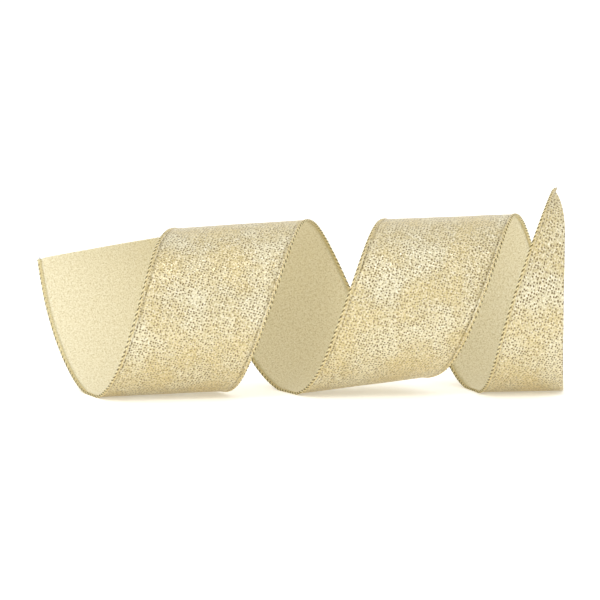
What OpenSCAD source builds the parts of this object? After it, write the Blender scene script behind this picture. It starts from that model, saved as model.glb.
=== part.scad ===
// A length of wired-edge gift ribbon with a glitter face, curled into a loose
// left-handed coil that lies on its side. +X runs along the coil's axis, +Z is up.
// Angles are in degrees round the axis: 0 faces -Y, 90 is the top and 270 the bottom.

/* [Ribbon] */
// Width of the ribbon, edge to edge
ribbon_w = 63; // [50:1:70]
// Thickness of the woven ground
web_t = 0.3; // [0.2:0.05:0.5]
// Thickness of the glitter layer on the outer face
coat_t = 0.1; // [0.05:0.05:0.2]

/* [Edges] */
// Width of each hem, with its overlock thread
hem_w = 2.2; // [2:0.1:3.5]
// Thickness of the hem where it is folded over the wire
hem_t = 0.9; // [0.8:0.05:1.2]
// Diameter of the steel wire in each hem
wire_d = 0.4; // [0.3:0.05:0.5]
// How far each wire stands out of its hem at both ends
wire_proud = 1.2; // [0.4:0.1:2]
// Diameter of the overlock bead on each edge
thread_d = 0.7; // [0.5:0.05:0.8]

/* [Coil] */
// Radius of a regular turn
coil_r = 42; // [40:1:50]
// Advance along the axis for each turn
coil_pitch = 92; // [84:1:104]
// How far each turn sags where it lies on the table
sag = 0.3; // [0.1:0.1:1.6]

/* [Ends] */
// Angle at which the left edge starts
start_a = -214; // [-240:1:-190]
// How much earlier the right edge starts, so that this end is cut square
start_skew = 19; // [10:1:30]
// Angle of the pointed tip at the far end
tip_a = 803; // [780:1:808]
// Where the long cut at the far end crosses the axis
cut_x = 126.8; // [115:0.1:135]

/* [Hidden] */

// The coil was pulled open by hand, so each quarter turn strays a little from a regular
// helix: [left edge along the axis, band width along the axis, left radius, right radius].
quarter = 90;
first_a = -270;
stray = [
    [16, -3, 0, 2],
    [0, 0, 0, 1],
    [-1, 0, 0, -2],
    [-3, -3, 0, -5],
    [-7, 1, -2, 2],
    [-2, 3, 2, -1],
    [5, 1, 0, -8],
    [3, 0, -2, -3],
    [5, 1, 2, 4],
    [12, -1, 4, 8],
    [5, -5, 0, 0],
    [-10, 1, 7, 3],
    [1, 1, 19, 18]
];

start_x = -109.5;               // left edge at the first bottom contact
centre_y = 0.3;                 // puts the origin under the middle of the coil
lead = atan(coil_pitch / (2 * PI * coil_r));
band_w = ribbon_w / cos(lead);  // width of the ribbon measured along the axis
rest_h = hem_t / 2;             // a hem that touches the table lies this high
axis_h = coil_r - sag;
press = 0.5;                    // mm: a turn starts to flatten this far above and below its rest
row_a = 9;                      // angle between two rows of points
cut_slope = 0.23;               // the long cut drifts along the axis by this much per mm of depth
tip_from_a = 765;               // from here the cut curves in to the tip
tip_back = 6.5;                 // how far it has come in at the tip
right_end_a = 576;              // the right edge runs into the long cut here
end_gap_a = 6;                  // the ground stops this much short of the hem's own ends
least_w = 0.4;                  // narrowest the ground gets at its two points
wire_clear = 0.04;              // gap between the wire and its channel
proud_a = wire_proud / coil_r * 180 / PI;   // the same length as an angle
hem_chamfer = 0.25;             // softened corners of the hem

// Smooth curve through four values, from the second to the third as f goes from 0 to 1
function through(a, b, c, d, f) =
    b + f * ((c - a) / 2 + f * ((a - 2.5 * b + 2 * c - d / 2) + f * (1.5 * (b - c) + (d - a) / 2)));

last = len(stray) - 1;
function station(i, k) =
    i < 0 ? 2 * stray[0][k] - stray[1][k]
    : i > last ? 2 * stray[last][k] - stray[last - 1][k]
    : stray[i][k];
function strayed(a, k) =
    let (q = (a - first_a) / quarter, i = min(max(floor(q), 0), last - 1))
    through(station(i - 1, k), station(i, k), station(i + 1, k), station(i + 2, k), q - i);

function left_x(a) = start_x + coil_pitch * (a + quarter) / 360 + strayed(a, 0);
function band(a) = band_w + strayed(a, 1);

// Height of a point that the table holds up: flat well below rest_h, and eased in above it
function held_up(z) =
    let (h = z - rest_h)
    rest_h + (h > press ? h : h < -press ? 0 : (h + press) * (h + press) / (4 * press));

// Middle surface of the ribbon. across is in mm along the axis from the left edge.
function middle(a, across) =
    let (u = across / band(a), r = coil_r + strayed(a, 2) * (1 - u) + strayed(a, 3) * u)
    [left_x(a) + across, -r * cos(a) - centre_y, held_up(axis_h + r * sin(a))];

// A point that stands off the middle surface, outwards where off is positive
function on_ribbon(a, across, off) =
    let (t = middle(a + 0.5, across) - middle(a - 0.5, across), n = norm([t.y, t.z]))
    middle(a, across) + off * [0, -t.z, t.y] / n;

function rows(from, to) = concat(
    [from],
    [for (k = [ceil((from + 1) / row_a):floor((to - 1) / row_a)]) k * row_a],
    [to]
);

// Faces of a swept tube: m points in each of n rings, closed at both ends. The far half of
// a ring is split along the mirrored diagonal, so that both faces of a thin sheet bend alike.
function quad(a, b, c, d, mirrored) =
    mirrored ? [[a, b, d], [b, c, d]] : [[a, b, c], [a, c, d]];
function tube_faces(n, m) = concat(
    [for (i = [0:n - 2], j = [0:m - 1])
        let (k = (j + 1) % m, a = i * m, b = (i + 1) * m)
        each quad(a + j, a + k, b + k, b + j, j >= m / 2)],
    [[for (j = [m - 1:-1:0]) j]],
    [[for (j = [0:m - 1]) (n - 1) * m + j]]
);

// Sections are lists of [across, off] points
module sweep(angles, sections) {
    m = len(sections[0]);
    points = [for (i = [0:len(angles) - 1], p = sections[i]) on_ribbon(angles[i], p.x, p.y)];
    polyhedron(points, tube_faces(len(angles), m), convexity = 10);
}

// A closed tube with an inner channel: each ring holds the outer points, then as many inner ones
module channel_sweep(angles, outer, inner) {
    m = len(outer[0]);
    n = len(angles);
    points = [for (i = [0:n - 1], p = concat(outer[i], inner[i])) on_ribbon(angles[i], p.x, p.y)];
    walls = [for (i = [0:n - 2], j = [0:m - 1])
        let (k = (j + 1) % m, a = 2 * m * i, b = 2 * m * (i + 1))
        each [[a + j, a + k, b + k], [a + j, b + k, b + j],
              [a + m + j, b + m + k, a + m + k], [a + m + j, b + m + j, b + m + k]]];
    ends = [for (j = [0:m - 1])
        let (k = (j + 1) % m, e = 2 * m * (n - 1))
        each [[j, m + k, k], [j, m + j, m + k],
              [e + j, e + k, e + m + k], [e + j, e + m + k, e + m + j]]];
    polyhedron(points, concat(walls, ends), convexity = 10);
}

// Regular polygon with a flat towards each neighbour, round an [across, off] point
function ring(at, d, sides) = [for (i = [0:sides - 1])
    let (a = 360 * (i + 0.5) / sides, r = d / 2 / cos(180 / sides)) at + r * [cos(a), sin(a)]];

// Where the woven ground begins and ends along the axis, measured from the left edge
function cut_across(a) =
    let (y = middle(a, 0).y, in = max(0, a - tip_from_a) / (tip_a - tip_from_a))
    cut_x + cut_slope * y - tip_back * in * in - left_x(a);
function ground_from(a) = max(hem_w, band(a) * (start_a - a) / start_skew);
function ground_to(a) = max(
    min(band(a) - hem_w, a > quarter ? cut_across(a) : band(a)),
    ground_from(a) + least_w
);
function slab(a, low, high) =
    let (l = ground_from(a), r = ground_to(a)) [[l, low], [r, low], [r, high], [l, high]];

ground_rows = rows(start_a - start_skew + 1, tip_a - end_gap_a);

module ribbon_ground() {
    color("#DDD4A8")
        sweep(ground_rows, [for (a = ground_rows) slab(a, -web_t / 2, web_t / 2)]);
}

module glitter_coat() {
    color("#E6DAAE")
        sweep(ground_rows, [for (a = ground_rows) slab(a, web_t / 2, web_t / 2 + coat_t)]);
}

// The hem lies between the overlock bead and the ground. side is 1 on the left edge and
// -1 on the right edge, where distances run back from the right edge.
function from_edge(a, d, side) = side > 0 ? d : band(a) - d;
function hem_section(a, side) =
    let (o = thread_d, i = hem_w, t = hem_t / 2, c = hem_chamfer,
         p = [[i, t - c], [i - c, t], [o + c, t], [o, t - c],
              [o, c - t], [o + c, -t], [i - c, -t], [i, c - t]],
         q = [for (v = p) [from_edge(a, v.x, side), v.y]])
    side > 0 ? q : [for (k = [3, 2, 1, 0, 7, 6, 5, 4]) q[k]];
hem_mid = (thread_d + hem_w) / 2;
function wire_ring(a, side, d) = ring([from_edge(a, hem_mid, side), 0], d, 8);

module selvedge(angles, side) {
    channel_sweep(
        angles,
        [for (a = angles) hem_section(a, side)],
        [for (a = angles) wire_ring(a, side, wire_d + 2 * wire_clear)]
    );
}

module edge_wire(angles, side) {
    sweep(angles, [for (a = angles) wire_ring(a, side, wire_d)]);
}

module overlock(angles, side) {
    sweep(angles, [for (a = angles) ring([from_edge(a, thread_d / 2, side), 0], thread_d, 8)]);
}

right_start_a = start_a - start_skew;
left_rows = rows(start_a, tip_a);
right_rows = rows(right_start_a, right_end_a);
left_wire_rows = rows(start_a - proud_a, tip_a + proud_a);
right_wire_rows = rows(right_start_a - proud_a, right_end_a + proud_a);

module left_selvedge() { color("#D8C48A") selvedge(left_rows, 1); }
module right_selvedge() { color("#D8C48A") selvedge(right_rows, -1); }
module left_edge_wire() { color("#B9BCC0") edge_wire(left_wire_rows, 1); }
module right_edge_wire() { color("#B9BCC0") edge_wire(right_wire_rows, -1); }
module left_overlock_thread() { color("#B39A52") overlock(left_rows, 1); }
module right_overlock_thread() { color("#B39A52") overlock(right_rows, -1); }

ribbon_ground();
glitter_coat();
left_selvedge();
right_selvedge();
left_edge_wire();
right_edge_wire();
left_overlock_thread();
right_overlock_thread();
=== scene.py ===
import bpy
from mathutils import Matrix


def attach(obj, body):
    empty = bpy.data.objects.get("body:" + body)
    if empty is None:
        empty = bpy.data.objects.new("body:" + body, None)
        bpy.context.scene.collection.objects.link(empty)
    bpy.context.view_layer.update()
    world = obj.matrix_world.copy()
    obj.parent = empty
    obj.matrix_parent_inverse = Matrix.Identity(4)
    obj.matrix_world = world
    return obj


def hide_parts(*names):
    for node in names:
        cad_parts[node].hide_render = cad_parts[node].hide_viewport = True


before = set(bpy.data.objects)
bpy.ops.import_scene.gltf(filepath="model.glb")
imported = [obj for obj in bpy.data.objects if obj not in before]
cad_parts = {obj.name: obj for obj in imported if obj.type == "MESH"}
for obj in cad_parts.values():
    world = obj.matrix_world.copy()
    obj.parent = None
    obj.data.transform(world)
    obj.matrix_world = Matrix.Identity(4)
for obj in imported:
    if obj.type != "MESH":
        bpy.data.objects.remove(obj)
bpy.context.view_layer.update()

import math
import random

import bpy
import numpy as np
from mathutils import Vector

mm = 0.001
probeAngle = 0.5       # degrees either side of a place, to find which way the ribbon runs
probeDistance = 0.1    # mm, to find which way its width and its thickness run
waveRepeat = 0.314     # m between the bands of a wave texture whose scale is 1

# How the ribbon lies. Angles run round the coil's axis: 0 faces the viewer, 90 is the top.
coil = {
    "radius": 42.0,        # mm, a regular turn
    "pitch": 92.0,         # mm along the axis for each turn
    "axisHeight": 41.7,    # mm above the table, so each turn sags a little where it rests
    "restHeight": 0.45,    # mm, a hem that touches the table lies this high
    "press": 0.5,          # mm above and below its rest where a turn starts to flatten
    "startX": -109.5,      # mm, left edge at its first contact with the table
    "centreY": 0.3,        # mm
    "firstAngle": -270.0,
    "quarter": 90.0,
    # how each quarter turn strays from a regular helix, in mm:
    # left edge along the axis, band width along the axis, left radius, right radius
    "stray": [
        [16, -3, 0, 2],
        [0, 0, 0, 1],
        [-1, 0, 0, -2],
        [-3, -3, 0, -5],
        [-7, 1, -2, 2],
        [-2, 3, 2, -1],
        [5, 1, 0, -8],
        [3, 0, -2, -3],
        [5, 1, 2, 4],
        [12, -1, 4, 8],
        [5, -5, 0, 0],
        [-10, 1, 7, 3],
        [1, 1, 19, 18],
    ],
}

ribbon = {
    "width": 63.0,          # mm, edge to edge
    "webThickness": 0.3,    # mm
    "coatThickness": 0.1,   # mm
    "hemWidth": 2.2,        # mm
    "hemThickness": 0.9,    # mm
    "wireDiameter": 0.4,    # mm
    "threadDiameter": 0.7,  # mm, room that the overlock thread takes at the very edge
}

ends = {
    "start": -214.0,       # angle where the left edge starts
    "startSkew": 19.0,     # the right edge starts this much earlier: a square cut
    "tip": 803.0,          # angle of the pointed tip
    "rightEnd": 576.0,     # the right edge runs into the long cut here
    "cutX": 126.8,         # mm, where the long cut crosses the axis
    "cutSlope": 0.23,
    "tipFrom": 765.0,
    "tipBack": 6.5,        # mm
}


def stationValue(table, index, column):
    # values beyond the table's two ends carry on in a straight line
    count = len(table)
    inside = np.clip(index, 0, count - 1)
    values = table[inside, column]
    before = 2 * table[0, column] - table[1, column]
    after = 2 * table[count - 1, column] - table[count - 2, column]
    return np.where(index < 0, before, np.where(index >= count, after, values))


def strayAt(angle, column):
    # a smooth curve through the table's values, one for each quarter turn
    table = np.array(coil["stray"], float)
    turned = (angle - coil["firstAngle"]) / coil["quarter"]
    index = np.clip(np.floor(turned).astype(int), 0, len(table) - 2)
    f = turned - index
    a, b, c, d = (stationValue(table, index + k, column) for k in (-1, 0, 1, 2))
    slope = (c - a) / 2
    bend = a - 2.5 * b + 2 * c - d / 2
    twist = 1.5 * (b - c) + (d - a) / 2
    return b + f * (slope + f * (bend + f * twist))


leadAngle = math.atan(coil["pitch"] / (2 * math.pi * coil["radius"]))
bandWidth = ribbon["width"] / math.cos(leadAngle)


def leftX(angle):
    return coil["startX"] + coil["pitch"] * (angle + coil["quarter"]) / 360 + strayAt(angle, 0)


def bandAt(angle):
    return bandWidth + strayAt(angle, 1)


def heldUp(z):
    # the table holds the ribbon up: flat well below restHeight, and eased in above it
    h = z - coil["restHeight"]
    press = coil["press"]
    eased = np.where(h < -press, 0, (h + press) ** 2 / (4 * press))
    return coil["restHeight"] + np.where(h > press, h, eased)


def middlePoint(angle, across):
    # a point of the ribbon's middle surface; across is in mm along the axis from the left edge
    u = across / bandAt(angle)
    r = coil["radius"] + strayAt(angle, 2) * (1 - u) + strayAt(angle, 3) * u
    turn = np.radians(angle)
    x = leftX(angle) + across
    y = -r * np.cos(turn) - coil["centreY"]
    z = heldUp(coil["axisHeight"] + r * np.sin(turn))
    return np.stack([x, y, z], -1)


def onRibbon(angle, across, off):
    # the same, standing off the surface, outwards where off is positive
    angle, across, off = np.broadcast_arrays(np.asarray(angle, float), across, off)
    step = middlePoint(angle + probeAngle, across) - middlePoint(angle - probeAngle, across)
    length = np.hypot(step[..., 1], step[..., 2])
    outward = np.stack([0 * length, -step[..., 2] / length, step[..., 1] / length], -1)
    return middlePoint(angle, across) + outward * off[..., None]


def ribbonUv(angle, across):
    # place on the flat ribbon in metres: x across it, y along it
    turn = np.radians(angle) * coil["radius"]
    x = leftX(angle) + across
    u = x * math.cos(leadAngle) - turn * math.sin(leadAngle)
    v = x * math.sin(leadAngle) + turn * math.cos(leadAngle)
    return np.stack([u, v], -1) * mm


def cutAcross(angle):
    # where the long cut crosses this line of the ribbon
    y = middlePoint(angle, 0 * angle)[..., 1]
    drawn = np.maximum(0, angle - ends["tipFrom"]) / (ends["tip"] - ends["tipFrom"])
    return ends["cutX"] + ends["cutSlope"] * y - ends["tipBack"] * drawn ** 2 - leftX(angle)


def newObject(name, points, faces, uvs):
    mesh = bpy.data.meshes.new(name)
    mesh.from_pydata([tuple(p) for p in points], [], faces)
    mesh.update()
    layer = mesh.uv_layers.new(name="ribbonMap")
    corner = np.array([loop.vertex_index for loop in mesh.loops])
    layer.data.foreach_set("uv", np.asarray(uvs)[corner].ravel())
    mesh.polygons.foreach_set("use_smooth", [True] * len(mesh.polygons))
    thing = bpy.data.objects.new(name, mesh)
    bpy.context.scene.collection.objects.link(thing)
    return thing


cloth = {
    "rowStep": 1.5,         # degrees between rows
    "columns": 28,
    "startShort": 1.0,      # degrees that the cloth starts after the right hem
    "endShort": 6.0,        # degrees that it stops short of the left hem's tip
    "leastWidth": 0.4,      # mm at its two points
    "waveHeight": 0.16,     # mm, soft waves that the cloth keeps from its reel
    "waveLengths": (37.0, 23.0, 13.0),  # mm along the ribbon
    "waveLean": 3.1,        # how steeply the waves cross the ribbon; more is straighter
    "waveBend": 1.3,        # how much their crests wind
    "waveBendWidth": 17.0,  # mm across the ribbon for each radian of winding
    "waveShift": 2.1,       # radians between one set of waves and the next
    "waveFall": 0.7,        # how much lower the shorter waves are
    "hemGrip": 0.6,         # less lets the waves come closer to the hems
}


def clothFrom(angle):
    return np.maximum(ribbon["hemWidth"], bandAt(angle) * (ends["start"] - angle) / ends["startSkew"])


def clothTo(angle):
    far = np.where(angle > coil["quarter"], cutAcross(angle), bandAt(angle))
    near = np.minimum(bandAt(angle) - ribbon["hemWidth"], far)
    return np.maximum(near, clothFrom(angle) + cloth["leastWidth"])


def softWaves(angle, across):
    # shallow waves that run across the ribbon and die out at the stiff hems
    uv = ribbonUv(angle, across) / mm
    long, wide = uv[..., 1], uv[..., 0]
    fade = np.sin(np.pi * np.clip(across / bandAt(angle), 0, 1)) ** cloth["hemGrip"]
    total = 0
    for i, length in enumerate(cloth["waveLengths"]):
        bend = cloth["waveBend"] * np.sin(wide / cloth["waveBendWidth"] + i)
        lean = wide / (cloth["waveLean"] * length) + bend
        turn = 2 * np.pi * long / length + lean + cloth["waveShift"] * i
        total = total + np.sin(turn) / (1 + cloth["waveFall"] * i)
    return cloth["waveHeight"] * fade * total / 2


def clothRows():
    first = ends["start"] - ends["startSkew"] + cloth["startShort"]
    last = ends["tip"] - cloth["endShort"]
    return np.linspace(first, last, int((last - first) / cloth["rowStep"]))


def clothSheet(name, low, high):
    # a closed thin sheet between two heights off the middle surface
    angles = clothRows()
    rows, columns = len(angles), cloth["columns"] + 1
    share = np.linspace(0, 1, columns)[None, :]
    grid = np.repeat(angles[:, None], columns, 1)
    start, stop = clothFrom(angles)[:, None], clothTo(angles)[:, None]
    across = start + (stop - start) * share
    waves = softWaves(grid, across)
    outer = onRibbon(grid, across, high + waves).reshape(-1, 3) * mm
    inner = onRibbon(grid, across, low + waves).reshape(-1, 3) * mm
    uv = ribbonUv(grid, across).reshape(-1, 2)
    count = rows * columns
    faces = []
    for i in range(rows - 1):
        for j in range(columns - 1):
            a = i * columns + j
            b, c, d = a + 1, a + columns + 1, a + columns
            faces.append((a, d, c, b))
            faces.append((count + a, count + b, count + c, count + d))
    rim = list(range(columns))
    rim += [i * columns + columns - 1 for i in range(1, rows)]
    rim += [(rows - 1) * columns + j for j in range(columns - 2, -1, -1)]
    rim += [i * columns for i in range(rows - 2, 0, -1)]
    for a, b in zip(rim, rim[1:] + rim[:1]):
        faces.append((a, b, count + b, count + a))
    return newObject(name, np.vstack([outer, inner]), faces, np.vstack([uv, uv]))


half = ribbon["webThickness"] / 2
wovenGround = clothSheet("wovenGround", -half, half)
glitterCoat = clothSheet("glitterCoat", half, half + ribbon["coatThickness"])
print("cloth made,", len(wovenGround.data.polygons), "faces a sheet")


hem = {
    "rowStep": 1.5,        # degrees
    "corner": 0.32,        # mm, rounding of the fold
    "sides": 16,
    "slack": 0.1,          # mm thinner than its full thickness, so that the stitches stand proud
}

wire = {
    "rowStep": 2.0,        # degrees
    "sides": 10,
    "proud": 1.2,          # mm that it stands out of the hem at both ends
}

stitch = {
    "pitch": 2.7,            # mm along the edge for one strand; two strands alternate
    "strands": 2,
    "points": 14,            # for one wrap round the hem
    "sides": 6,
    "diameter": 0.5,         # mm
    "reach": 0.95,           # mm that a wrap covers across the hem
    "wander": 0.22,          # mm, uneven stitches
    "looperDistance": 1.2,   # mm from the edge to the line of loops that holds the wraps down
    "looperDiameter": 0.44,  # mm
    "looperPoints": 6,       # for each wrap
    "looperSway": 0.1,       # mm to each side
    "looperRise": 0.04,      # mm up and down as it crosses the wraps
    "flatness": 0.8,         # a yarn under tension is this much thinner than it is wide
    "lead": 0.4,             # share of a stitch left free before the first wrap
    "edgeGap": 0.12,         # mm from the edge to the nearest wrap
    "loosen": 1.2,           # how much a wrap's reach varies with its wander
    "sink": 0.05,            # mm; a wrap's middle lies this much inside the hem's full thickness
    "seed": 7,
    "tracePoints": 4000,     # points that measure the edge's length
    "traceInset": 0.5,       # mm from the edge where it is measured
}


def sweepTube(name, centres, sideways, upwards, section):
    # a closed tube through centres; section is a list of (sideways, upwards) in metres
    rows, sides = len(centres), len(section)
    points = np.stack([centres + x * sideways + y * upwards for x, y in section], 1).reshape(-1, 3)
    travelled = np.concatenate([[0], np.cumsum(np.linalg.norm(np.diff(centres, axis=0), axis=1))])
    ring = np.arange(sides) / sides
    uv = np.stack([np.tile(ring, rows), np.repeat(travelled, sides)], -1)
    faces = []
    for i in range(rows - 1):
        for j in range(sides):
            k = (j + 1) % sides
            faces.append((i * sides + j, (i + 1) * sides + j, (i + 1) * sides + k, i * sides + k))
    faces.append(tuple(range(sides)))
    faces.append(tuple((rows - 1) * sides + j for j in range(sides - 1, -1, -1)))
    return newObject(name, points, faces, uv)


def edgePoint(angle, distance, off, side):
    # distance is in mm from the left edge (side 1) or back from the right edge (side -1)
    across = distance if side > 0 else bandAt(angle) - distance
    return onRibbon(angle, across, off)


def edgeFrame(angle, distance, side):
    # centre line and its two cross directions, in metres
    centre = edgePoint(angle, distance, 0, side)
    sideways = edgePoint(angle, distance + probeDistance, 0, side) - centre
    upwards = edgePoint(angle, distance, probeDistance, side) - centre
    sideways /= np.linalg.norm(sideways, axis=1)[:, None]
    upwards /= np.linalg.norm(upwards, axis=1)[:, None]
    return centre * mm, sideways, upwards


def roundedBox(wide, high, corner, sides):
    # points of a rounded rectangle, by pushing a circle's points out to its flats
    points = []
    for i in range(sides):
        turn = 2 * math.pi * (i + 0.5) / sides
        c, s = math.cos(turn), math.sin(turn)
        x = math.copysign(wide / 2 - corner, c) + corner * c
        y = math.copysign(high / 2 - corner, s) + corner * s
        points.append((x * mm, y * mm))
    return points


def makeHem(name, first, last, side):
    angles = np.linspace(first, last, int((last - first) / hem["rowStep"]))
    inner, outer = ribbon["hemWidth"], ribbon["threadDiameter"] / 2
    distance = (inner + outer) / 2
    centre, sideways, upwards = edgeFrame(angles, distance, side)
    section = roundedBox(inner - outer, ribbon["hemThickness"] - hem["slack"], hem["corner"], hem["sides"])
    section = section if side > 0 else section[::-1]
    thing = sweepTube(name, centre, sideways, upwards, section)
    # the hem shows the cloth's glitter face outside and its woven face inside, so it shares their map
    flat = []
    for angle in angles:
        for x, y in section:
            across = distance + x / mm
            across = across if side > 0 else bandAt(angle) - across
            flat.append(ribbonUv(angle, across))
    corner = np.array([loop.vertex_index for loop in thing.data.loops])
    thing.data.uv_layers["ribbonMap"].data.foreach_set("uv", np.array(flat)[corner].ravel())
    # material 0 on the outside and 1 on the inside
    heights = [y for _, y in section]
    faceOf = [int(low + high < 0) for low, high in zip(heights, heights[1:] + heights[:1])]
    return thing, faceOf * (len(angles) - 1) + [0, 0]


def makeWire(name, first, last, side):
    degree = wire["proud"] / (coil["radius"] * math.radians(1))
    angles = np.linspace(first - degree, last + degree, int((last - first) / wire["rowStep"]))
    middle = (ribbon["threadDiameter"] + ribbon["hemWidth"]) / 2
    centre, sideways, upwards = edgeFrame(angles, middle, side)
    r = ribbon["wireDiameter"] / 2 * mm
    turns = [2 * math.pi * i / wire["sides"] for i in range(wire["sides"])]
    section = [(r * math.cos(t), r * math.sin(t)) for t in turns]
    section = section if side > 0 else section[::-1]
    return sweepTube(name, centre, sideways, upwards, section)


def alongEdge(first, last, side):
    # angle for a distance along the edge, in mm
    angles = np.linspace(first, last, stitch["tracePoints"])
    line = edgePoint(angles, 0 * angles + stitch["traceInset"], 0, side)
    travelled = np.concatenate([[0], np.cumsum(np.linalg.norm(np.diff(line, axis=0), axis=1))])
    return travelled, angles


def yarnRings(line, core, diameter):
    # rings round a yarn's centre line, all in metres; core is a nearby line that the yarn goes round
    tangent = np.gradient(line, axis=0)
    tangent /= np.linalg.norm(tangent, axis=1)[:, None]
    outward = line - core
    outward -= (outward * tangent).sum(1)[:, None] * tangent
    outward /= np.linalg.norm(outward, axis=1)[:, None]
    other = np.cross(tangent, outward)
    rings = []
    for j in range(stitch["sides"]):
        turn = 2 * math.pi * j / stitch["sides"]
        around = math.cos(turn) * outward * stitch["flatness"] + math.sin(turn) * other
        rings.append(line + diameter / 2 * mm * around)
    return np.stack(rings, 1).reshape(-1, 3)


def yarnFaces(start, count):
    sides = stitch["sides"]
    faces = []
    for i in range(count - 1):
        a, b = start + i * sides, start + (i + 1) * sides
        for j in range(sides):
            k = (j + 1) % sides
            faces.append((a + j, a + k, b + k, b + j))
    last = start + (count - 1) * sides
    faces.append(tuple(start + j for j in range(sides - 1, -1, -1)))
    faces.append(tuple(last + j for j in range(sides)))
    return faces


def makeOverlock(name, first, last, side):
    # two strands wrap round the edge side by side, and a looper yarn holds them down on each face
    draw = random.Random(stitch["seed"] + side)
    travelled, angles = alongEdge(first, last, side)
    pitch = stitch["pitch"]
    wraps = int(travelled[-1] / pitch) - 1
    points, faces, uvs, yarnOf = [], [], [], []
    yarns = [("wrap", strand) for strand in range(stitch["strands"])]
    yarns += [("looper", 1), ("looper", -1)]
    halfHem = ribbon["hemThickness"] / 2
    for number, (kind, which) in enumerate(yarns):
        each = stitch["points"] if kind == "wrap" else stitch["looperPoints"]
        count = wraps * each + 1
        t = np.arange(count) / each
        knots = [draw.uniform(-1, 1) for _ in range(wraps + 2)]
        loose = np.interp(t, range(wraps + 2), knots) * stitch["wander"]
        turn = 2 * np.pi * t
        if kind == "wrap":
            along = pitch * (stitch["lead"] + which / stitch["strands"] + t) + loose
            span = stitch["reach"] * (1 + stitch["loosen"] * loose)
            distance = stitch["edgeGap"] + span / 2 * (1 - np.cos(turn))
            off = np.sin(turn) * (halfHem - stitch["sink"])
            thick = stitch["diameter"]
        else:
            along = pitch * (stitch["lead"] + t)
            distance = stitch["looperDistance"] + stitch["looperSway"] * np.sin(2 * turn) + loose
            off = which * (halfHem + stitch["looperRise"] * np.cos(2 * turn))
            thick = stitch["looperDiameter"]
        angle = np.interp(along, travelled, angles)
        line = edgePoint(angle, distance, off, side) * mm
        # where the edge rests on the table the yarns are pressed flat
        line[:, 2] = np.maximum(line[:, 2], thick / 2 * mm)
        core = edgePoint(angle, stitch["edgeGap"] + stitch["reach"] / 2, 0, side) * mm
        start = sum(len(p) for p in points)
        points.append(yarnRings(line, core, thick))
        faces += yarnFaces(start, count)
        yarnOf += [min(number, stitch["strands"])] * (len(faces) - len(yarnOf))
        u = np.full(count * stitch["sides"], (number + 0.5) / len(yarns))
        uvs.append(np.stack([u, np.repeat(t, stitch["sides"])], -1))
    thing = newObject(name, np.vstack(points), faces, np.vstack(uvs))
    return thing, yarnOf


rightFirst = ends["start"] - ends["startSkew"]
leftHem, leftFaces = makeHem("leftHem", ends["start"], ends["tip"], 1)
rightHem, rightFaces = makeHem("rightHem", rightFirst, ends["rightEnd"], -1)
leftWire = makeWire("leftWire", ends["start"], ends["tip"], 1)
rightWire = makeWire("rightWire", rightFirst, ends["rightEnd"], -1)
leftOverlock, leftYarns = makeOverlock("leftOverlock", ends["start"], ends["tip"], 1)
rightOverlock, rightYarns = makeOverlock("rightOverlock", rightFirst, ends["rightEnd"], -1)
print("edges made,", len(leftOverlock.data.polygons), "faces of thread on the left")


def linearColour(hexColour):
    # sRGB hex to the linear colour that shaders use
    channels = [int(hexColour[i:i + 2], 16) / 255 for i in (1, 3, 5)]
    linear = [c / 12.92 if c <= 0.04045 else ((c + 0.055) / 1.055) ** 2.4 for c in channels]
    return (*linear, 1.0)


def newFinish(name):
    # a material with an empty node tree, and the map of the flat ribbon in it
    finish = bpy.data.materials.new(name)
    finish.use_nodes = True
    tree = finish.node_tree
    tree.nodes.clear()
    ribbonMap = addNode(tree, "ShaderNodeUVMap", {"uv_map": "ribbonMap"})
    return finish, tree, (ribbonMap, "UV")


def outputOf(source):
    # (node, output name); a mix node has one output of each type, and the enabled one is wanted
    node, name = source
    return next(socket for socket in node.outputs if socket.name == name and socket.enabled)


def addNode(tree, kind, settings=None, inputs=None, links=None):
    # one node: its settings, its input values, and its links as {input: (node, output name)}
    node = tree.nodes.new(kind)
    for key, value in (settings or {}).items():
        setattr(node, key, value)
    for key, value in (inputs or {}).items():
        node.inputs[key].default_value = value
    for key, source in (links or {}).items():
        tree.links.new(outputOf(source), node.inputs[key])
    return node


def mixed(tree, kind, share, one, two):
    # share, one and two are each a number, a hex colour or a (node, output name)
    node = addNode(tree, "ShaderNodeMix", {"data_type": kind})
    sockets = [socket for socket in node.inputs if socket.enabled]
    for socket, value in zip(sockets, (share, one, two)):
        if isinstance(value, tuple):
            tree.links.new(outputOf(value), socket)
        else:
            socket.default_value = linearColour(value) if isinstance(value, str) else value
    return node, "Result"


def noise(tree, place, size, detail, roughness=0.5):
    # soft patches, size in mm
    node = addNode(tree, "ShaderNodeTexNoise", {"noise_dimensions": "2D"},
                   {"Scale": 1 / (size * mm), "Detail": detail, "Roughness": roughness}, {"Vector": place})
    return node, "Fac"


def cells(tree, place, size, uneven):
    # scattered flakes, size in mm
    return addNode(tree, "ShaderNodeTexVoronoi", {"voronoi_dimensions": "2D"},
                   {"Scale": 1 / (size * mm), "Randomness": uneven}, {"Vector": place})


def spread(tree, value, fromRange, toRange, how="LINEAR"):
    node = addNode(tree, "ShaderNodeMapRange", {"interpolation_type": how},
                   {"From Min": fromRange[0], "From Max": fromRange[1],
                    "To Min": toRange[0], "To Max": toRange[1]}, {"Value": value})
    return node, "Result"


def combined(tree, operation, one, two=None):
    inputs = {1: two} if isinstance(two, float) else {}
    links = {0: one, 1: two} if isinstance(two, tuple) else {0: one}
    return addNode(tree, "ShaderNodeMath", {"operation": operation}, inputs, links), "Value"


def ramp(tree, value, stops):
    node = addNode(tree, "ShaderNodeValToRGB", links={"Fac": value})
    elements = node.color_ramp.elements
    while len(elements) < len(stops):
        elements.new(0.5)
    for element, (place, colour) in zip(elements, stops):
        element.position = place
        element.color = linearColour(colour)
    return node, "Color"


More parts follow.
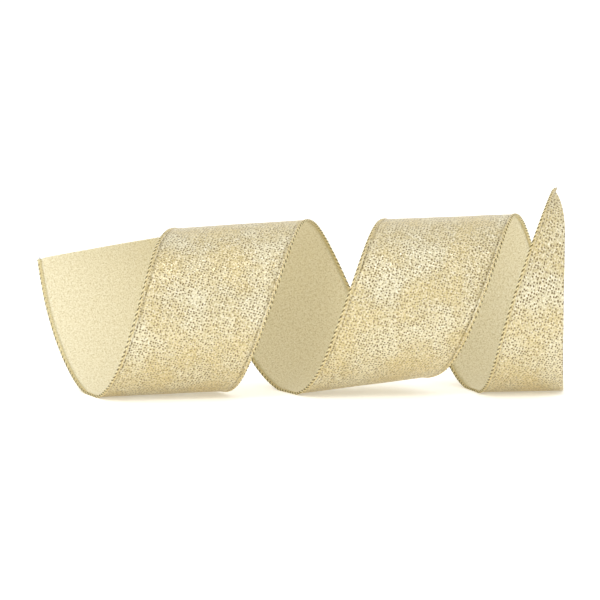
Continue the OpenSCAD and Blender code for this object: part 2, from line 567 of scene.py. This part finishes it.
def raised(tree, height, strength, depth, normal=None):
    # depth in mm
    links = {"Height": height, "Normal": normal} if normal else {"Height": height}
    node = addNode(tree, "ShaderNodeBump", None, {"Strength": strength, "Distance": depth * mm}, links)
    return node, "Normal"


def surface(tree, inputs, links):
    shader = addNode(tree, "ShaderNodeBsdfPrincipled", None, inputs, links)
    addNode(tree, "ShaderNodeOutputMaterial", links={"Surface": (shader, "BSDF")})


glitterLook = {
    "flake": 1.35,                # mm between flakes; real ones are finer and are drawn this coarse to show
    "fine": 0.5,                  # mm, the small flakes between them
    "flakeReach": (0.19, 0.385),  # where a dark flake starts and ends to fade, as shares of its cell
    # the paler patches stand partly for a painted highlight
    "patch": 22.0,                # mm, slow drift from warmer to paler gold
    "warm": "#CFBC86",
    "ground": "#CEC096",
    "pale": "#DCD4B5",
    # painted shade: the dark colour of large flakes turned away from the light
    "gap": "#654E24",             # large flakes turned away from the light
    # painted glints and painted shade: each small flake is coloured at random from dark to near white, as
    # if it caught the light or turned from it
    "fineTones": ((0.0, "#9A8957"), (0.3, "#C8BC93"), (0.75, "#DFD6B6"), (1.0, "#FFFCEE")),
    "metallic": 0.45,
    "edgeTint": "#F8EBC8",        # colour of the metal seen at a shallow angle
    "roughness": (0.3, 0.58),
    "lacquer": 0.45,
    "lacquerRoughness": 0.28,
    "tilt": 0.3,                  # how unevenly the flakes lie
    "tiltStrength": 0.6,
    "fineShare": 0.45,            # how much the small flakes show over the ground
    "relief": 0.15,               # mm between the dark flakes and the ground
    "reliefStrength": 0.35,
}


def glitterLame():
    # glitter-coated lame: flat metal flakes set in clear lacquer. The colour paints what the eye gets: a
    # pale metallic ground, painted shade on large flakes turned away from the light, and painted glints on
    # small flakes
    finish, tree, place = newFinish("champagneGlitterLame")
    look = glitterLook
    large = cells(tree, place, look["flake"], 0.7)
    small = cells(tree, place, look["fine"], 1.0)
    drift = noise(tree, place, look["patch"], 3.0, 0.6)
    largePick = addNode(tree, "ShaderNodeSeparateColor", links={"Color": (large, "Color")})
    smallPick = addNode(tree, "ShaderNodeSeparateColor", links={"Color": (small, "Color")})
    # painted shade on the large flakes
    # a flake turned away shows dark near its middle, some less than others
    near = spread(tree, (large, "Distance"), look["flakeReach"], (1.0, 0.0), "SMOOTHSTEP")
    some = spread(tree, (largePick, "Red"), (0.0, 0.6), (0.1, 1.0))
    # in random patches the flakes show less and the gold is warmer; the paler patches, where the flakes
    # show more, are partly a painted highlight
    flakePatches = spread(tree, drift, (0.35, 0.6), (0.7, 1.0))
    darkness = combined(tree, "MULTIPLY", combined(tree, "MULTIPLY", near, some), flakePatches)
    tone = ramp(tree, drift, ((0.35, look["warm"]), (0.5, look["ground"]), (0.65, look["pale"])))
    # painted glints on the small flakes
    speckle = ramp(tree, (smallPick, "Green"), look["fineTones"])
    lit = mixed(tree, "RGBA", look["fineShare"], tone, speckle)
    colour = mixed(tree, "RGBA", darkness, lit, look["gap"])
    # flakes are tilted, each its own way, from one that lies flat
    lyingFlat = [0.5, 0.5, 1.0, 1.0]
    tilt = mixed(tree, "RGBA", look["tilt"], lyingFlat, (small, "Color"))
    tilted = addNode(tree, "ShaderNodeNormalMap", {"uv_map": "ribbonMap"},
                     {"Strength": look["tiltStrength"]}, {"Color": tilt})
    surface(tree, {
        "Metallic": look["metallic"],
        "Specular Tint": linearColour(look["edgeTint"]),
        "Coat Weight": look["lacquer"],
        "Coat Roughness": look["lacquerRoughness"],
    }, {
        "Base Color": colour,
        "Roughness": spread(tree, (smallPick, "Blue"), (0.0, 1.0), look["roughness"]),
        "Normal": raised(tree, near, look["reliefStrength"], look["relief"], (tilted, "Normal")),
    })
    return finish


weaveLook = {
    "thread": 0.5,         # mm between threads; finer in the real cloth, and drawn this coarse to show
    "mottle": 1.5,         # mm, soft cloudy patches where the lacquer shows through
    "grain": 0.7,          # mm, uneven threads
    "pale": "#F4EEDA",
    "middle": "#E3DAB9",
    "deep": "#BAAA78",
    "roughness": (0.72, 0.88),
    "relief": 0.12,        # mm
    "reliefStrength": 0.4,
    "threadWaver": 0.6,
}


def plainWeave():
    # plain-woven polyester ground, seen from behind: matt, with a fine thread grid and
    # cloudy patches where the lacquer has soaked through
    finish, tree, place = newFinish("creamPlainWeave")
    look = weaveLook
    mottle = noise(tree, place, look["mottle"], 5.0, 0.65)
    cloudy = mixed(tree, "FLOAT", 0.6, mottle, noise(tree, place, look["grain"], 2.0))
    bands = []
    for direction in ("X", "Y"):
        band = addNode(tree, "ShaderNodeTexWave", {"wave_type": "BANDS", "bands_direction": direction},
                       {"Scale": waveRepeat / (look["thread"] * mm),
                        "Distortion": look["threadWaver"], "Detail": 1.0}, {"Vector": place})
        bands.append((band, "Fac"))
    threads = combined(tree, "MULTIPLY", *bands)
    relief = mixed(tree, "FLOAT", 0.3, cloudy, threads)
    tones = ((0.25, look["deep"]), (0.5, look["middle"]), (0.75, look["pale"]))
    surface(tree, {"Sheen Weight": 0.2, "Sheen Roughness": 0.5}, {
        "Base Color": ramp(tree, cloudy, tones),
        "Roughness": spread(tree, mottle, (0.0, 1.0), look["roughness"]),
        "Normal": raised(tree, relief, look["reliefStrength"], look["relief"]),
    })
    return finish


hemLook = {
    "rib": 0.9,            # mm between the stitches that show through the fold
    "fuzz": 0.8,           # mm
    "light": "#E0DAB8",
    "deep": "#C2B27C",
    "roughness": (0.36, 0.5),
    "metallic": 0.5,
    "relief": 0.12,        # mm
    "reliefStrength": 0.5,
}


def foldedHem():
    # the cloth folded over the wire, with its metallic yarns packed tight: pale ochre, ribbed across
    finish, tree, place = newFinish("foldedMetallicHem")
    look = hemLook
    along = addNode(tree, "ShaderNodeSeparateXYZ", links={"Vector": place})
    turns = combined(tree, "MULTIPLY", (along, "Y"), 2 * math.pi / (look["rib"] * mm))
    ribs = combined(tree, "SINE", turns)
    fuzz = noise(tree, place, look["fuzz"], 3.0)
    height = spread(tree, combined(tree, "ADD", ribs, fuzz), (-0.6, 1.6), (0.0, 1.0))
    surface(tree, {"Metallic": look["metallic"]}, {
        "Base Color": ramp(tree, height, ((0.1, look["deep"]), (0.75, look["light"]))),
        "Roughness": spread(tree, fuzz, (0.0, 1.0), look["roughness"]),
        "Normal": raised(tree, height, look["reliefStrength"], look["relief"]),
    })
    return finish


threadLook = {
    # the two wrap strands are one yarn: this one is painted as the shaded copy, the next as the lit copy
    # with a painted glint
    "shadedWrap": ("#84733E", "#4E4219"),  # light and deep side of each yarn
    "litWrap": ("#FBF2CC", "#E0CF96"),
    "ochre": ("#ECDDB0", "#CDB87E"),
    "turnsEachWrap": 5.0,  # twist of the foil round its core
    "metallic": 0.6,
    "roughness": (0.3, 0.46),
    "relief": 0.05,        # mm
    "reliefStrength": 0.4,
}


def metallicThread(shade):
    # flat metallic foil wrapped on a core: a painted glint and painted shade twisting along each stitch
    finish, tree, place = newFinish(shade + "MetallicThread")
    look = threadLook
    light, deep = look[shade]
    along = addNode(tree, "ShaderNodeSeparateXYZ", links={"Vector": place})
    twist = combined(tree, "MULTIPLY", (along, "Y"), 2 * math.pi * look["turnsEachWrap"])
    foil = spread(tree, combined(tree, "SINE", twist), (-1.0, 1.0), (0.0, 1.0))
    surface(tree, {"Metallic": look["metallic"]}, {
        # painted glint and painted shade along the twist
        "Base Color": ramp(tree, foil, ((0.0, deep), (1.0, light))),
        "Roughness": spread(tree, foil, (1.0, 0.0), look["roughness"]),
        "Normal": raised(tree, foil, look["reliefStrength"], look["relief"]),
    })
    return finish


steelLook = {
    "line": 25.0,          # mm, length of the draw marks
    "light": "#C9CACB",
    "deep": "#A4A5A6",
    "roughness": (0.25, 0.45),
}


def drawnSteel():
    # soft steel wire, drawn: grey, with faint marks along it
    finish, tree, place = newFinish("drawnSteelWire")
    look = steelLook
    marks = noise(tree, place, look["line"], 2.0)
    surface(tree, {"Metallic": 1.0}, {
        "Base Color": ramp(tree, marks, ((0.3, look["deep"]), (0.7, look["light"]))),
        "Roughness": spread(tree, marks, (0.0, 1.0), look["roughness"]),
    })
    return finish


glitterFinish = glitterLame()
weaveFinish = plainWeave()
hemFinish = foldedHem()
steelFinish = drawnSteel()
# one wrap strand is painted as a shaded copy and the other as a lit copy of the same yarn; the looper is
# ochre
threadFinishes = [metallicThread(shade) for shade in ("shadedWrap", "litWrap", "ochre")]

glitterCoat.data.materials.append(glitterFinish)
wovenGround.data.materials.append(weaveFinish)
for piece, faceOf in ((leftHem, leftFaces), (rightHem, rightFaces)):
    piece.data.materials.append(glitterFinish)
    piece.data.materials.append(hemFinish)
    piece.data.polygons.foreach_set("material_index", faceOf)
for piece in (leftWire, rightWire):
    piece.data.materials.append(steelFinish)
for piece, yarnOf in ((leftOverlock, leftYarns), (rightOverlock, rightYarns)):
    for finish in threadFinishes:
        piece.data.materials.append(finish)
    piece.data.polygons.foreach_set("material_index", yarnOf)
print("finishes made")


for piece, node, slotName in (
    (wovenGround, "ribbon_ground", "woven_ground"),
    (glitterCoat, "glitter_coat", "glitter_face"),
    (leftHem, "left_selvedge", "hem"),
    (rightHem, "right_selvedge", "hem"),
    (leftWire, "left_edge_wire", "edge_wire"),
    (rightWire, "right_edge_wire", "edge_wire"),
    (leftOverlock, "left_overlock_thread", "overlock_thread"),
    (rightOverlock, "right_overlock_thread", "overlock_thread"),
):
    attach(piece, "root")
    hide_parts(node)


studio = {
    "world": 1.08,
    "worldColour": "#FFFFFF",
    "floorReach": 6,       # m each way
    "paper": "#FBFBFB",
    "paperRoughness": 0.9,
    "paperShine": 0.1,
    "floorGlow": 0.32,     # the paper sweep is lit so well that it shows white
    "glowColour": "#FFFBEF",
    "keyPower": 3.8,       # W
    "keySize": 0.4,        # m
    "keyPlace": (-0.45, -0.85, 1.0),
    "keyAim": (0, 0, 0.04),
}

floorMesh = bpy.data.meshes.new("floor")
reach = studio["floorReach"]
corners = [(-reach, -reach, 0), (reach, -reach, 0), (reach, reach, 0), (-reach, reach, 0)]
floorMesh.from_pydata(corners, [], [(0, 1, 2, 3)])
floor = bpy.data.objects.new("floor", floorMesh)
bpy.context.scene.collection.objects.link(floor)
floorFinish, floorTree = newFinish("whitePaperSweep")[:2]
surface(floorTree, {
    "Base Color": linearColour(studio["paper"]),
    "Roughness": studio["paperRoughness"],
    "Specular IOR Level": studio["paperShine"],
    "Emission Color": linearColour(studio["glowColour"]),
    "Emission Strength": studio["floorGlow"],
}, {})
floorMesh.materials.append(floorFinish)

world = bpy.data.worlds.new("studioWhite")
bpy.context.scene.world = world
world.use_nodes = True
backdrop = world.node_tree.nodes["Background"]
backdrop.inputs["Color"].default_value = linearColour(studio["worldColour"])
backdrop.inputs["Strength"].default_value = studio["world"]


def makeSoftbox(name, place, aim, size, power):
    light = bpy.data.lights.new(name, "AREA")
    light.shape = "SQUARE"
    light.size = size
    light.energy = power
    lamp = bpy.data.objects.new(name, light)
    lamp.location = place
    lamp.rotation_euler = (Vector(aim) - Vector(place)).to_track_quat("-Z", "Y").to_euler()
    bpy.context.scene.collection.objects.link(lamp)


makeSoftbox("keyLight", studio["keyPlace"], studio["keyAim"], studio["keySize"], studio["keyPower"])

view = {
    "azimuth": -6.0,       # degrees, a little from the left
    "elevation": 5.0,
    "distance": 1.05,      # m
    "aim": (-0.0065, -0.0003, 0.0463),
    "lens": 127.3,         # mm
    "sensor": 36,          # mm
}


def placeCamera():
    data = bpy.data.cameras.new("camera")
    data.lens = view["lens"]
    data.sensor_width = view["sensor"]
    camera = bpy.data.objects.new("camera", data)
    a, e = math.radians(view["azimuth"]), math.radians(view["elevation"])
    back = Vector((math.sin(a) * math.cos(e), -math.cos(a) * math.cos(e), math.sin(e)))
    camera.location = Vector(view["aim"]) + back * view["distance"]
    camera.rotation_euler = (-back).to_track_quat("-Z", "Y").to_euler()
    bpy.context.scene.collection.objects.link(camera)
    bpy.context.scene.camera = camera


placeCamera()
bpy.context.scene.view_settings.view_transform = "Standard"
bpy.context.scene.view_settings.look = "None"
print("floor, light and camera placed")
